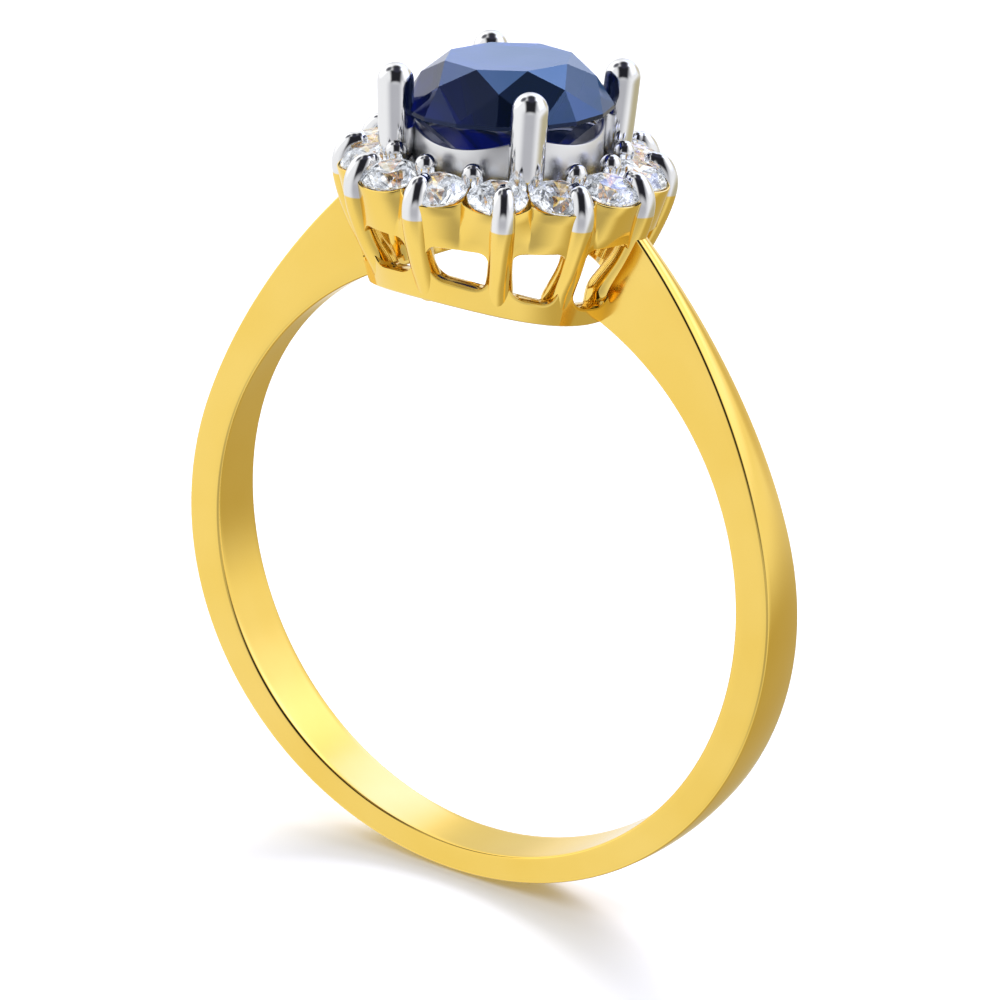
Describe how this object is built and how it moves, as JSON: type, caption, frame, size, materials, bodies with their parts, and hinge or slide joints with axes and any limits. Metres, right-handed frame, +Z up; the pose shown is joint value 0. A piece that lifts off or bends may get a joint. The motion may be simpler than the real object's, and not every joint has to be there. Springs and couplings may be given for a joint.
{
  "type": "engagement ring",
  "caption": "Yellow gold cluster ring: round blue sapphire in a white four-claw collet, halo of round diamonds held by long claws, scalloped open gallery, cathedral shoulders.",
  "frame": {"origin": "centre of the finger hole, half way along its length", "axes": "+Y along the finger, +Z up through the head, +X to the right shoulder"},
  "size_m": [0.0192, 0.0092, 0.0238],
  "materials": {
    "yellow_gold": "polished 18 ct yellow gold",
    "white_gold": "polished, rhodium plated",
    "diamond": "round brilliant cut, colourless",
    "sapphire": "round brilliant cut, deep blue"
  },
  "bodies": {
    "root": {"centre_claw_1": "white_gold", "centre_claw_2": "white_gold", "centre_claw_3": "white_gold", "centre_claw_4": "white_gold", "centre_collet": "white_gold", "diamond_01": "diamond", "diamond_02": "diamond", "diamond_03": "diamond", "diamond_04": "diamond", "diamond_05": "diamond", "diamond_06": "diamond", "diamond_07": "diamond", "diamond_08": "diamond", "diamond_09": "diamond", "diamond_10": "diamond", "diamond_11": "diamond", "diamond_12": "diamond", "diamond_13": "diamond", "diamond_14": "diamond", "gallery_rail": "yellow_gold", "gallery_wall": "yellow_gold", "halo_plate": "white_gold", "inner_claw_01": "white_gold", "inner_claw_02": "white_gold", "inner_claw_03": "white_gold", "inner_claw_04": "white_gold", "inner_claw_05": "white_gold", "inner_claw_06": "white_gold", "inner_claw_07": "white_gold", "inner_claw_08": "white_gold", "inner_claw_09": "white_gold", "inner_claw_10": "white_gold", "inner_claw_11": "white_gold", "inner_claw_12": "white_gold", "outer_claw_01": "yellow_gold", "outer_claw_02": "yellow_gold", "outer_claw_03": "yellow_gold", "outer_claw_04": "yellow_gold", "outer_claw_05": "yellow_gold", "outer_claw_06": "yellow_gold", "outer_claw_07": "yellow_gold", "outer_claw_08": "yellow_gold", "outer_claw_09": "yellow_gold", "outer_claw_10": "yellow_gold", "outer_claw_11": "yellow_gold", "outer_claw_12": "yellow_gold", "sapphire": "sapphire", "shank": "yellow_gold"}
  },
  "joints": []
}
